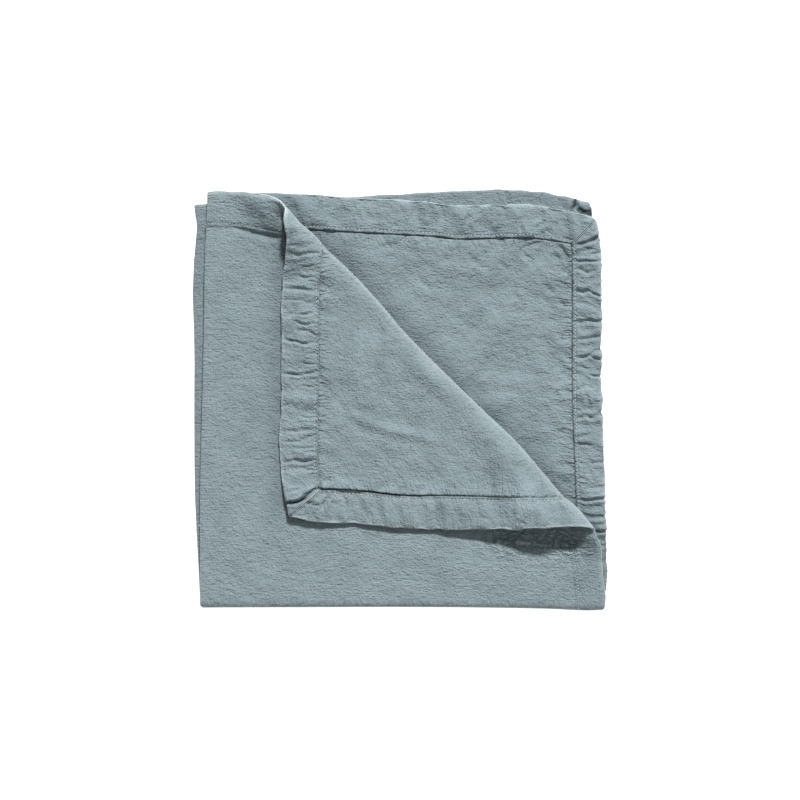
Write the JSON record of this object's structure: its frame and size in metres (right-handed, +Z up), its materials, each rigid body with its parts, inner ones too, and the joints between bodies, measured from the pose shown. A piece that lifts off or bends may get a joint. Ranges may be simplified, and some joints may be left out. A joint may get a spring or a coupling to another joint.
{
  "type": "folded linen table runner",
  "caption": "Washed linen table cloth with stitched, mitred hems, folded into a flat square packet with its top corner turned back diagonally.",
  "frame": {"origin": "centre of the packet's bounding box, on the surface that it lies on", "axes": "+Z up out of the surface through the layers, +Y away from the bottom fold towards the end hems, +X towards the side hems"},
  "size_m": [0.2582, 0.2624, 0.0219],
  "materials": {
    "linen": "matt washed plain-weave linen, dusty blue-grey, with fine slubs and puckered stitched hems"
  },
  "bodies": {
    "root": {"runner_cloth": "linen"}
  },
  "joints": []
}
